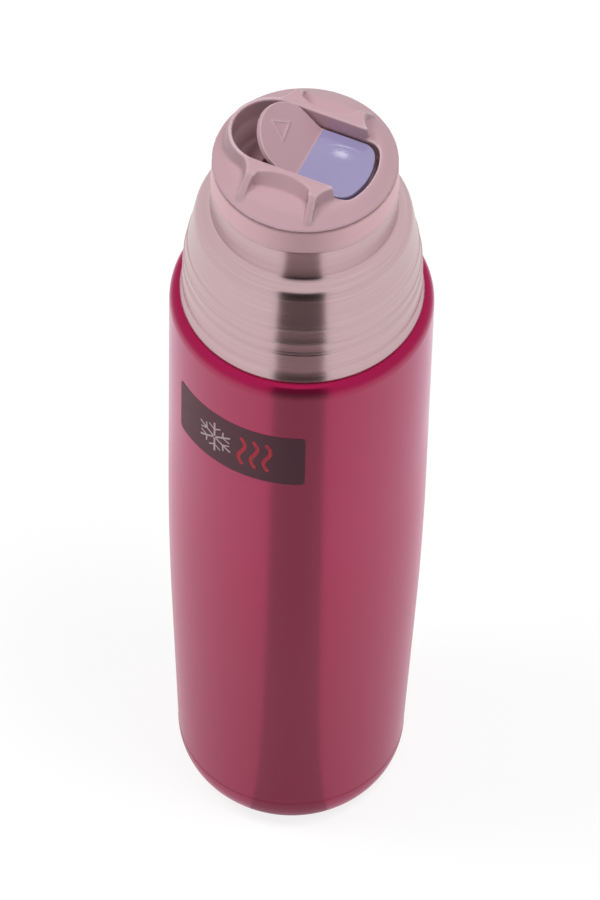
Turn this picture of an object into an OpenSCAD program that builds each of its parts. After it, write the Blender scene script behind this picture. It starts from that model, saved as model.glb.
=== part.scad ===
// Insulated water bottle: a double-wall steel vacuum flask with a pour-through screw stopper.
// Millimetres, +Z up, origin at the middle of the foot, front towards -Y.

/* [Body] */
// radius of the straight upper body
body_r = 41; // [40.5:0.1:44]
// height of the joint between the red shoulder and the steel neck
neck_z = 238; // [225:1:280]
// height where the body starts to taper
taper_z = 148; // [120:1:165]
// radius of the long curve that leads into the taper
taper_curve_r = 1913; // [1500:1:2400]
// taper of the lower body, in degrees
taper_deg = 1.976; // [1.5:0.001:2.2]
// height of the seam between shell and base
seam_z = 14; // [12:0.5:16]
// radius at that seam
seam_r = 37.45; // [37:0.05:38]
// width of the rounded shoulder
shoulder_w = 3.3; // [2.8:0.1:3.6]
// height of the rounded shoulder
shoulder_h = 5.3; // [3:0.1:9]
// thickness of the outer steel
outer_wall = 0.6; // [0.4:0.1:0.8]

/* [Base] */
// width of the rounded foot's curve
foot_curve_w = 16.9; // [15:0.1:18]
// height of the rounded foot's curve
foot_curve_h = 18.7; // [17:0.1:19]
// outer radius of the flat foot ring
foot_r = 31.2; // [30:0.1:32]
// inner radius of the flat foot ring
foot_in_r = 27.5; // [25:0.1:28.5]
// depth of the recess under the base
recess_h = 4.6; // [4.2:0.1:5]

/* [Neck] */
// radius of the plain band that the cup slides over
band_r = 36.95; // [36.8:0.05:37.2]
// height of the neck above the shoulder joint
neck_h = 59.95; // [59:0.05:64]
// radius of the neck's upper wall
upper_r = 28.45; // [28.3:0.05:28.8]
// radius of the neck's top edge
edge_r = 28.25; // [27.6:0.05:28.3]
// how far each fine ring stands out
ring_out = 0.22; // [0.1:0.01:0.24]

/* [Vacuum vessel] */
// thickness of the inner steel
inner_wall = 0.5; // [0.4:0.1:0.5]
// outer radius of the inner vessel
vessel_r = 36.2; // [35:0.1:36.5]
// outer radius of the inner vessel's neck
vessel_neck_r = 26.8; // [26.8:0.05:26.9]
// outer radius of the throat under the gasket seat
throat_r = 24.9; // [24.5:0.1:25.2]
// height of the joint between inner vessel and inner bottom
inner_seam_z = 26; // [25:1:32]
// radius of the getter cup
getter_r = 9; // [6:0.5:12]

/* [Thread] */
// lead of the stopper thread
lead = 7; // [6.5:0.5:8]
// turns in each thread rib
turns = 1.25; // [1:0.25:1.5]
// radius at the tip of the plug's rib
plug_tip_r = 26; // [25.6:0.1:26]
// radius at the tip of the neck's rib
neck_tip_r = 25.2; // [24.9:0.1:25.6]

/* [Stopper] */
// turn of the pouring channel about the bottle's axis, in degrees
lid_turn = -23; // [-180:1:180]
// radius of the disc
disc_r = 28.4; // [28:0.1:29]
// thickness of the disc
disc_h = 3.8; // [3.6:0.1:4.2]
// gap between the neck's edge and the disc
disc_gap = 0.85; // [0.4:0.05:0.9]
// radius where the disc's top starts to slope down to the rim
slope_r = 22.8; // [22.4:0.1:24]
// half the width of the channel between the grips
channel_half = 12.2; // [12.1:0.05:12.5]
// radius of the hole's outer end around the button
slot_r = 22.3; // [22:0.1:22.4]
// height of the grips and the pouring collar above the disc
grip_h = 5; // [4:0.1:7]
// half the length of a grip's top
grip_half = 15.3; // [14.5:0.1:15.8]
// half the width of a finger recess
recess_half = 8.4; // [7.5:0.1:8.6]
// offset of the pouring well from the middle of the disc
well_u = -11; // [-11.2:0.1:-10.6]
// thickness of the pouring collar at its top
collar_wall = 1.2; // [0.8:0.1:1.6]
// depth of the well's floor under the disc's top
well_depth = 10.2; // [9.8:0.1:11]
// radius of the pouring hole in the well's floor
pour_r = 4.5; // [3.5:0.1:4.9]
// radius of the plug's shell
plug_r = 24.4; // [24.2:0.1:24.6]
// radius of the plug under the thread
plug_low_r = 22.6; // [22:0.1:23]

/* [Rocker] */
// tilt of the open flap, in degrees
open_deg = 42; // [34:1:44]
// half the width of the flap
flap_r = 11.4; // [10.6:0.1:11.5]
// length of the flap's straight sides
flap_side = 7.5; // [7:0.1:8]
// thickness of the flap
flap_t = 1.8; // [1.4:0.1:2]
// place of the pin along the channel
pin_u = 0.3; // [0:0.1:0.6]
// depth of the pin under the disc's top
pin_h = 2.9; // [2.8:0.05:3]
// radius of the pin
pin_r = 0.9; // [0.8:0.05:1]
// radius of the rocker's barrel
barrel_r = 2; // [1.8:0.1:2.1]
// half the width of the button
button_half = 11.5; // [10.5:0.1:11.6]
// radius of the button's outer end
button_r = 21; // [20:0.1:21.2]
// thickness of the button
button_t = 2.4; // [2.2:0.1:2.4]

/* [Label] */
// first edge of the label, in degrees from the front
label_from = -63; // [-90:1:-20]
// last edge of the label, in degrees from the front
label_to = 3.3; // [0:0.1:60]
// height of the label's lower edge
label_z = 191.3; // [170:0.1:195]
// height of the label
label_h = 23.2; // [10:0.1:24]

/* [Hidden] */
$fn = 96;
RED = [0.62, 0.11, 0.22];
STEEL = [0.72, 0.70, 0.69];
PLASTIC = [0.78, 0.68, 0.70];
LILAC = [0.62, 0.59, 0.75];
SILICONE = [0.75, 0.73, 0.72];
FOIL = [0.80, 0.80, 0.82];
FOAM = [0.90, 0.87, 0.80];
PELLET = [0.35, 0.34, 0.33];
BRAZE = [0.45, 0.44, 0.43];
FILM = [0.16, 0.10, 0.13];

// hairline gap between pieces that are welded, glued or clipped together
join = 0.05;

// heights on the bottle
neck_top = neck_z + neck_h;
disc_z = neck_top + disc_gap;
lid_z = disc_z + disc_h;
seat_z = neck_z + 21.1;
thread_z = neck_z + 38;
plug_z = neck_z + 7;

// body
shoulder_r = body_r - shoulder_w;
curve_x = body_r - taper_curve_r;
film_t = 0.1;
hole_r = 1.2;
foot_sweep = 46.5;

// neck: the step between cone and upper wall, and the wall's thickness
step_r = 33.4;
neck_wall = 0.9;
neck_tail = 5;

// vacuum vessel
vessel_in = vessel_neck_r - inner_wall;
vessel_low_r = vessel_r - 2.9;
dish_w = 12;
dish_h = 11;
bottom_z = inner_seam_z - 14.8;
cup_wall = 0.4;
cup_h = 3.15;

// basin under the disc and the room that the plug's shell leaves for it
basin_wall = 1.2;
plug_in = plug_r - 1.05;
basin_r = plug_in - 0.25;
well_r = 10.4;
well_shift = 0.3;
well_floor = 1.4;
pocket_depth = 6.6;
pocket_half = channel_half - 0.2;

// finger grips
ridge_out = 18.2;
ridge_edge = 0.8;
leg_u = 9.6;
leg_w = 2.4;
leg_turn = 8;
leg_run = 5.9;
leg_end = 11.8;
finger_r = 14.3;
finger_v = 28.3;
scoop_r = 7.9;
scoop_flare = 1.3;
scoop_u = 20.4;
scoop_v = 19.8;

// plug and pouring tube
tube_r = 6.3;
tube_in = 5;
air_r = 1.5;

// rocker: height of the crease over the pin, and the flap in its closed place
crease_dz = pin_h - 0.8;
flap_top = crease_dz * cos(open_deg);
crease_x = -crease_dz * sin(open_deg);
flap_x = crease_x - flap_side;
stem_x = flap_x - 0.6;
stem_r = 2;
stem_h = 4.6;
bore_r = 1.05;
seal_dz = pin_h - well_depth + 0.3;
pour_u = pin_u + stem_x;
barrel_half = 11.6;
barrel_gap = 0.2;
pin_half = 13.7;
arm_t = 1.6;
button_top = 0.7;
corner_r = 3;
dimple_u = 11;
dimple_r = 30;
dimple_d = 0.5;

// points on a quarter or other part of an ellipse
function bow(cx, cz, rx, rz, a, b, n) =
    [for (i = [0 : n]) let (t = a + (b - a) * i / n) [cx + rx * cos(t), cz + rz * sin(t)]];

// the body's side from the seam to the top of the shoulder, moved inwards by w
function side(w) = concat(
    [[seam_r - w, seam_z]],
    bow(curve_x, taper_z, taper_curve_r - w, taper_curve_r - w, -taper_deg, 0, 8),
    bow(shoulder_r, neck_z - shoulder_h, shoulder_w - w, shoulder_h - w, 0, 90, 9));

// the rounded foot from the seam down to the flat, moved inwards by w
function foot(w) =
    bow(seam_r - foot_curve_w, seam_z, foot_curve_w - w, foot_curve_h - w, 0, -foot_sweep, 9);

function flip(p) = [for (i = [len(p) - 1 : -1 : 0]) p[i]];

// a fine ring around the neck's cone
function ring(r, h) =
    [[r, h - 0.4], [r + ring_out, h - 0.15], [r + ring_out, h + 0.2], [r - 0.12, h + 0.55]];

module lathe(points) {
    rotate_extrude() polygon(points);
}

module on_lid() {
    translate([0, 0, lid_z]) rotate([0, 0, lid_turn]) children();
}

// the rocker's own frame, with the pin at its origin and the flap lying level
module on_rocker(tilt) {
    on_lid() translate([pin_u, 0, -pin_h]) rotate([0, tilt, 0]) children();
}

// a cylinder along the rocker's pin, reaching half to both sides
module along_pin(r, half) {
    translate([0, -half, 0]) rotate([-90, 0, 0]) cylinder(r = r, h = 2 * half, $fn = 48);
}

// a piece of the body's side: from radius r outwards by t, between the label's edges grown by g
module wrap(r, t, g) {
    spread = g / body_r * 180 / PI;
    rotate([0, 0, label_from - spread - 90]) rotate_extrude(angle = label_to - label_from + 2 * spread)
        translate([r, label_z - g]) square([t, label_h + 2 * g]);
}

// a one-start rib on a helix: half widths at its root and its tip
module helix_rib(root_r, tip_r, root_half, tip_half, z0) {
    n = 24;
    last = round(turns * n);
    section = [[root_r, -root_half], [tip_r, -tip_half], [tip_r, tip_half], [root_r, root_half]];
    order = tip_r > root_r ? [0, 1, 2, 3] : [3, 2, 1, 0];
    points = [for (i = [0 : last]) for (k = order) let (a = 360 * i / n, p = section[k])
        [p[0] * cos(a), p[0] * sin(a), z0 + lead * i / n + p[1]]];
    sides = [for (i = [0 : last - 1]) for (k = [0 : 3]) let (j = (k + 1) % 4, b = 4 * i)
        each [[b + k, b + j, b + 4 + k], [b + j, b + 4 + j, b + 4 + k]]];
    e = 4 * last;
    polyhedron(points, concat(sides, [[0, 2, 1], [0, 3, 2], [e, e + 1, e + 2], [e, e + 2, e + 3]]));
}

// the label lies flush in a shallow bed
module outer_shell() {
    color(RED) difference() {
        lathe(concat(side(0), flip(side(outer_wall))));
        wrap(body_r - film_t - join, 1, join);
    }
}

module outer_base() {
    t = outer_wall;
    color(RED) translate([0, 0, -0.03]) lathe(concat(
        foot(0), [[foot_r + 0.45, 0.13], [foot_r, 0.03], [foot_in_r, 0.03], [foot_in_r - 0.5, 0.5],
        [foot_in_r - 1.1, recess_h - 0.6], [foot_in_r - 1.8, recess_h], [hole_r, recess_h],
        [hole_r, recess_h + t], [foot_in_r - 1.4, recess_h + t], [foot_in_r - 0.3, recess_h - 0.2],
        [foot_in_r + 0.5, t + 0.3], [foot_r - 0.4, t + 0.3]], flip(foot(t))));
}

// flange, cup band, three rings, cone, step, upper wall with its ridge, and the satin top
module neck_collar() {
    color(STEEL) translate([0, 0, neck_z]) lathe(concat(
        [[shoulder_r - 0.25, -neck_tail], [shoulder_r - 0.25, join], [shoulder_r + 0.08, join],
         [shoulder_r + 0.1, 0.6], [shoulder_r, 1.2], [shoulder_r - 0.4, 2.6], [band_r, 4.2], [band_r, 12.3]],
        ring(band_r - 0.25, 13), ring(band_r - 0.55, 17.2), ring(band_r - 1.43, 22.5),
        [[step_r, 35.2], [step_r - 0.35, 36.4], [step_r - 1.1, 37.4], [step_r - 2.2, 38.2],
         [upper_r + 1.05, 38.9], [upper_r + 0.45, 39.5], [upper_r + 0.15, 40.6], [upper_r, 44],
         [upper_r, 51.2], [upper_r + 0.2, 51.5], [upper_r + 0.2, 52], [upper_r + 0.02, 52.6],
         [edge_r, neck_h - 0.3], [edge_r - 0.3, neck_h]],
        [[vessel_neck_r + join, neck_h], [vessel_neck_r + join, 53.5], [upper_r - neck_wall, 50.5],
         [upper_r - neck_wall, 40.3], [upper_r - 0.25, 39], [step_r - 3.8, 38.2], [step_r - 2.5, 37.4],
         [step_r - 1.5, 36.5], [step_r - neck_wall, 35.2], [band_r - 2.35, 22.5], [band_r - 1.45, 17.2],
         [band_r - neck_wall, 12.5], [band_r - neck_wall, 4.2],
         [shoulder_r - 1.05, 2], [shoulder_r - 1.05, -neck_tail]]));
}

// the inner vessel's side from its lower seam up to the lip, moved inwards by w
function vessel(w) = [
    [vessel_low_r - w, inner_seam_z], [vessel_r - w, taper_z + 4], [vessel_r - w, neck_z - 17],
    [vessel_r - 0.5 - w, neck_z - 10.5], [vessel_r - 2.4 - w, neck_z - 4],
    [throat_r + 5.7 - w, neck_z + 1.5 - w / 2], [throat_r + 2.7 - w, neck_z + 5.8 - w / 2],
    [throat_r + 0.9 - w, neck_z + 9.2 - w / 2], [throat_r - w, neck_z + 13],
    [throat_r - w, seat_z - 1.1 + w / 3], [vessel_neck_r - w, seat_z + 4.9 + w / 3],
    [vessel_neck_r - w, neck_top]];

module inner_vessel() {
    color(STEEL) union() {
        lathe(concat(vessel(0), flip(vessel(inner_wall))));
        helix_rib(vessel_in + 0.35, neck_tip_r, 1.9, 1.1, thread_z + lead / 2);
    }
}

// the dished inner bottom, moved inwards by w
function dish(w) = concat([[vessel_low_r - w, inner_seam_z - join]],
    bow(vessel_low_r - dish_w, bottom_z + dish_h, dish_w - w, dish_h - w, 0, -90, 10));

module inner_bottom() {
    color(STEEL) lathe(concat(dish(0), [[0, bottom_z], [0, bottom_z + inner_wall]], flip(dish(inner_wall))));
}

// foil wrapped round the inner vessel
module heat_shield() {
    r = vessel_r + 0.3;
    low_r = r - 2.75;
    color(FOIL) lathe([[low_r, inner_seam_z + 6], [r, taper_z + 4], [r, neck_z - 20], [r + 0.15, neck_z - 20],
        [r + 0.15, taper_z + 4], [low_r + 0.15, inner_seam_z + 6]]);
}

module getter_cup() {
    color(STEEL) translate([0, 0, bottom_z - join - cup_h]) lathe([[0, 0], [getter_r, 0], [getter_r, cup_h],
        [getter_r - cup_wall, cup_h], [getter_r - cup_wall, cup_wall], [0, cup_wall]]);
}

module getter() {
    color(PELLET) translate([0, 0, bottom_z - cup_h + cup_wall])
        cylinder(r = getter_r - cup_wall - 0.1, h = cup_h - cup_wall - 0.45);
}

module sealing_tip() {
    stem = hole_r - join;
    color(BRAZE) lathe([[0, recess_h - 1.9], [2.2, recess_h - 1.9], [3.4, recess_h - 1.3],
        [4, recess_h - 0.08], [stem, recess_h - 0.08], [stem, recess_h + 1.1], [0, recess_h + 1.1]]);
}

module base_cover() {
    r = foot_in_r - 2.2;
    top = recess_h - 0.08;
    low = recess_h - 3.1;
    t = 0.6;
    color(STEEL) lathe([[0, low], [r - t, low], [r, low + t], [r, top], [r - t, top],
        [r - t, low + t + 0.25], [r - t - 0.25, low + t], [0, low + t]]);
}

module label_plate() {
    color(FILM) wrap(body_r - film_t, film_t, 0);
}

module stopper_gasket() {
    in_r = plug_low_r - 0.7;
    out_r = plug_low_r + 2.3;
    color(SILICONE) translate([0, 0, seat_z])
        lathe([[in_r, 0.3], [out_r - 1, 0.3], [out_r, 2.3], [out_r, 3.5], [in_r, 3.5]]);
}

// the channel's plan at the level of the disc
module channel_plan() {
    translate([well_u, 0]) circle(channel_half);
    intersection() {
        circle(slot_r);
        translate([well_u, -channel_half]) square([2 * disc_r, 2 * channel_half]);
    }
}

// the two plans of the basin under the disc, grown by g
module well_plan(g) {
    translate([well_u - well_shift, 0]) circle(well_r + g);
}

module pocket_plan(g) {
    intersection() {
        circle(basin_r - basin_wall + g);
        translate([-6 - g, -pocket_half - g]) square([2 * disc_r, 2 * (pocket_half + g)]);
    }
}

// one finger grip on the +v side: ridge, two legs and the finger recess
module grip() {
    sink = 2.6;
    intersection() {
        translate([0, 0, -sink]) cylinder(r = disc_r - 1.2, h = grip_h + 2 * sink);
        difference() {
            union() {
                translate([0, ridge_out, 0]) rotate([90, 0, 0]) linear_extrude(ridge_out - channel_half)
                    polygon([[-grip_half, -sink], [-grip_half, grip_h - ridge_edge],
                        [-grip_half + ridge_edge, grip_h], [grip_half - ridge_edge, grip_h],
                        [grip_half, grip_h - ridge_edge], [grip_half, -sink]]);
                for (s = [-1, 1]) translate([s * leg_u, channel_half, 0]) rotate([0, 0, -s * leg_turn])
                    translate([-leg_w / 2, 0, 0]) rotate([90, 0, 90]) linear_extrude(leg_w)
                        polygon([[0, -sink], [0, grip_h], [leg_run, grip_h], [leg_run + 1.3, grip_h - 0.7],
                            [leg_end, -1.6], [leg_end, -sink]]);
            }
            // the concave wall behind the finger
            intersection() {
                translate([0, finger_v, 0.02]) cylinder(r = finger_r, h = grip_h + sink);
                translate([-recess_half, channel_half - 2, 0]) cube([2 * recess_half, disc_r, 2 * grip_h]);
            }
            // the hollows beside the legs
            for (s = [-1, 1]) translate([s * scoop_u, scoop_v, 0.02])
                cylinder(r1 = scoop_r, r2 = scoop_r + scoop_flare, h = grip_h + sink);
        }
    }
}

module stopper_top() {
    rim_w = 1.8;
    rim_h = 1.45;
    edge = 0.5 - disc_h;
    collar_r = channel_half + collar_wall;
    well_under = well_depth + well_floor;
    color(PLASTIC) on_lid() difference() {
        union() {
            lathe(concat([[0, -disc_h], [disc_r - 0.5, -disc_h]],
                bow(disc_r - rim_w, edge, rim_w, rim_h, 0, 65, 6), [[slope_r, 0], [0, 0]]));
            grip();
            mirror([0, 1, 0]) grip();
            // pouring collar
            translate([well_u, 0, -0.5]) difference() {
                cylinder(r1 = collar_r + 1.4, r2 = collar_r, h = grip_h + 0.5);
                translate([2.5, -disc_r, -1]) cube(2 * disc_r);
            }
            // basin under the disc
            translate([0, 0, -well_under]) linear_extrude(well_under - 1) well_plan(basin_wall);
            translate([0, 0, -pocket_depth - basin_wall]) linear_extrude(pocket_depth)
                pocket_plan(basin_wall);
        }
        translate([0, 0, -disc_h]) linear_extrude(disc_h + grip_h + 1) channel_plan();
        translate([0, 0, -well_depth]) linear_extrude(well_depth) well_plan(0);
        translate([0, 0, -pocket_depth]) linear_extrude(pocket_depth) pocket_plan(0);
        translate([pour_u, 0, -well_under - 1]) cylinder(r = pour_r, h = well_floor + 2, $fn = 48);
        translate([pin_u, 0, -pin_h]) along_pin(pin_r + 0.03, pin_half + 0.3);
    }
}

module stopper_plug() {
    groove_r = plug_low_r - 0.8;
    in_r = plug_low_r - 2;
    color(PLASTIC) union() {
        lathe([[in_r, plug_z], [plug_low_r - 0.6, plug_z], [plug_low_r, plug_z + 0.6],
            [plug_low_r, seat_z], [groove_r, seat_z], [groove_r, seat_z + 3.8], [plug_low_r, seat_z + 3.8],
            [plug_low_r, seat_z + 6.9], [plug_r, seat_z + 8.9], [plug_r, disc_z - join],
            [plug_in, disc_z - join], [plug_in, seat_z + 10.4], [in_r, seat_z + 8.4]]);
        helix_rib(plug_r - 0.15, plug_tip_r, 2, 1.2, thread_z);
    }
}

module plug_insulation() {
    low_r = plug_low_r - 2.3;
    wide_r = plug_in - 0.4;
    low_z = plug_z + 2.7;
    top_z = lid_z - 13.6;
    color(FOAM) difference() {
        lathe([[0, low_z], [low_r, low_z], [low_r, seat_z + 8.7], [wide_r, seat_z + 10.9], [wide_r, top_z],
            [0, top_z]]);
        rotate([0, 0, lid_turn]) translate([pour_u, 0, plug_z])
            cylinder(r = tube_r + 0.3, h = neck_h, $fn = 48);
    }
}

module plug_bottom() {
    t = 2.2;
    color(PLASTIC) translate([0, 0, plug_z + 0.2]) rotate([0, 0, lid_turn]) difference() {
        cylinder(r = plug_low_r - 2 - join, h = t);
        translate([pour_u, 0, -1]) cylinder(r = tube_in, h = t + 2, $fn = 48);
        translate([9, 6, -1]) cylinder(r = air_r, h = t + 2, $fn = 32);
    }
}

module pour_tube() {
    low_z = plug_z + 2.5;
    h = lid_z - well_depth - well_floor - join - low_z;
    color(PLASTIC) rotate([0, 0, lid_turn]) translate([pour_u, 0, low_z]) difference() {
        cylinder(r = tube_r, h = h, $fn = 48);
        translate([0, 0, -1]) cylinder(r = tube_in, h = h + 2, $fn = 48);
    }
}

module rocker_pin() {
    color(STEEL) on_rocker(0) along_pin(pin_r, pin_half);
}

// the flap's plan in its level place
module flap_plan() {
    translate([flap_x, 0]) {
        intersection() {
            circle(flap_r);
            translate([-2 * flap_r, -flap_r]) square(2 * flap_r);
        }
        translate([0, -flap_r]) square([flap_side, 2 * flap_r]);
    }
}

// a raised arrow head on the flap
module flap_mark() {
    translate([flap_x - 3.6, 0]) rotate(180) difference() {
        circle(4.6, $fn = 3);
        circle(3.6, $fn = 3);
    }
}

module rocker() {
    arm_top = pin_h - button_top - button_t - join;
    color(PLASTIC) difference() {
        union() {
            on_rocker(open_deg) {
                translate([0, 0, flap_top - flap_t]) linear_extrude(flap_t) flap_plan();
                translate([0, 0, flap_top - 0.1]) linear_extrude(0.35) flap_mark();
                translate([stem_x, 0, -stem_h]) cylinder(r = stem_r, h = stem_h, $fn = 32);
            }
            on_rocker(0) {
                along_pin(barrel_r, barrel_half);
                translate([0.2, -9, arm_top - arm_t]) cube([16.5, 18, arm_t]);
            }
        }
        on_rocker(0) along_pin(pin_r + 0.06, barrel_half + 1);
        on_rocker(open_deg) translate([stem_x, 0, -stem_h - 0.1]) cylinder(r = bore_r, h = 3, $fn = 32);
    }
}

module push_button() {
    color(LILAC) on_lid() difference() {
        translate([0, 0, -button_top - button_t]) linear_extrude(button_t) intersection() {
            offset(r = corner_r) offset(delta = -corner_r) intersection() {
                circle(button_r);
                translate([-button_r, -button_half]) square([2 * button_r, 2 * button_half]);
            }
            translate([pin_u + 0.5, -button_r]) square(2 * button_r);
        }
        translate([dimple_u, 0, dimple_r - button_top - dimple_d]) sphere(r = dimple_r);
        // room for the barrel under the button's inner end
        translate([pin_u, 0, -pin_h]) along_pin(barrel_r + barrel_gap, barrel_half + 1);
    }
}

module flap_seal() {
    lip = 5.2;
    color(SILICONE) on_rocker(open_deg) translate([stem_x, 0, 0]) lathe([[bore_r, seal_dz],
        [lip - 1.6, seal_dz], [lip, seal_dz + 1], [lip, seal_dz + 1.8], [lip - 1.8, -3.4],
        [stem_r + join, -3.4], [stem_r + join, -stem_h - join], [bore_r, -stem_h - join]]);
}

module seal_rivet() {
    head = 2.4;
    shank = bore_r - join;
    color(STEEL) on_rocker(open_deg) translate([stem_x, 0, 0]) lathe([[0, seal_dz - 0.8],
        [head - 0.4, seal_dz - 0.8], [head, seal_dz - 0.5], [head, seal_dz - join], [shank, seal_dz - join],
        [shank, -2], [0, -2]]);
}

outer_shell();
outer_base();
neck_collar();
inner_vessel();
inner_bottom();
heat_shield();
getter_cup();
getter();
sealing_tip();
base_cover();
label_plate();
stopper_gasket();
stopper_top();
stopper_plug();
plug_insulation();
plug_bottom();
pour_tube();
rocker_pin();
rocker();
push_button();
flap_seal();
seal_rivet();
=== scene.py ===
"""Looks of an insulated bottle: lacquered body, brushed neck, screw stopper and pouring rocker.

Sizes are millimetres in the part's own frame, and become metres when a piece is made.
"""

import logging
import math
from dataclasses import dataclass, field
from enum import Enum
from typing import Any, Iterable, Sequence, Union

import bmesh
import bpy
from mathutils import Matrix, Vector


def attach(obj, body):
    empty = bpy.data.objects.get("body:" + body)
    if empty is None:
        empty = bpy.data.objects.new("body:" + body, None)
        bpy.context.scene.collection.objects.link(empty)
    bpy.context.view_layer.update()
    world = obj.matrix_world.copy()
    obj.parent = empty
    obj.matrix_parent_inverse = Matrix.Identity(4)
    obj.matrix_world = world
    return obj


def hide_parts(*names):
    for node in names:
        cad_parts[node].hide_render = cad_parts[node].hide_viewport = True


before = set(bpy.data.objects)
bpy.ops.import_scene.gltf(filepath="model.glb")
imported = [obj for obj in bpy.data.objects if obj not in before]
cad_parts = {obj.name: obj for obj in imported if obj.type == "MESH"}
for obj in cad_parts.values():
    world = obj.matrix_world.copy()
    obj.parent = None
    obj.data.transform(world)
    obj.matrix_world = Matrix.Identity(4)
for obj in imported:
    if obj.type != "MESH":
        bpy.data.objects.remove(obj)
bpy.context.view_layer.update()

MM = 0.001
BEND = "bend"
CREASE = math.radians(40)
MERGE = 0.0001
ROUND_STEPS = 5
SMALL_FACETS = 48
HANDS = (1, -1)
LOG = logging.getLogger("bottle")
Colour = tuple[float, float, float]
Place = tuple[float, float, float]
Point = tuple[float, float]


class Body(Enum):
    """The bodies that the new pieces ride on."""

    BOTTLE = "bottle"
    STOPPER = "stopper"
    ROCKER = "rocker"


class Step(Enum):
    """What a solid does to the moulding it is put to."""

    ADD = "UNION"
    CUT = "DIFFERENCE"


@dataclass(frozen=True)
class Corner:
    """A corner of an outline.

    Attributes:
        x: radius on a turned outline, or the first direction of a plan.
        y: height on a turned outline, or the second direction of a plan.
        soft: how far the rounding of the corner reaches along its sides.
    """

    x: float
    y: float
    soft: float = 0.0


def corners(*points: tuple[float, ...]) -> list[Corner]:
    """Write an outline as tuples: two numbers for a sharp corner, three for a rounded one."""
    return [Corner(*point) for point in points]


def bow(middle: Point, reach: Point, start: float, end: float, steps: int) -> list[Corner]:
    """Follow an ellipse about a middle, reach being its half axes, from start to end in degrees."""
    angles = [math.radians(start + (end - start) * i / steps) for i in range(steps + 1)]
    return [Corner(middle[0] + reach[0] * math.cos(a), middle[1] + reach[1] * math.sin(a)) for a in angles]


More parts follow.
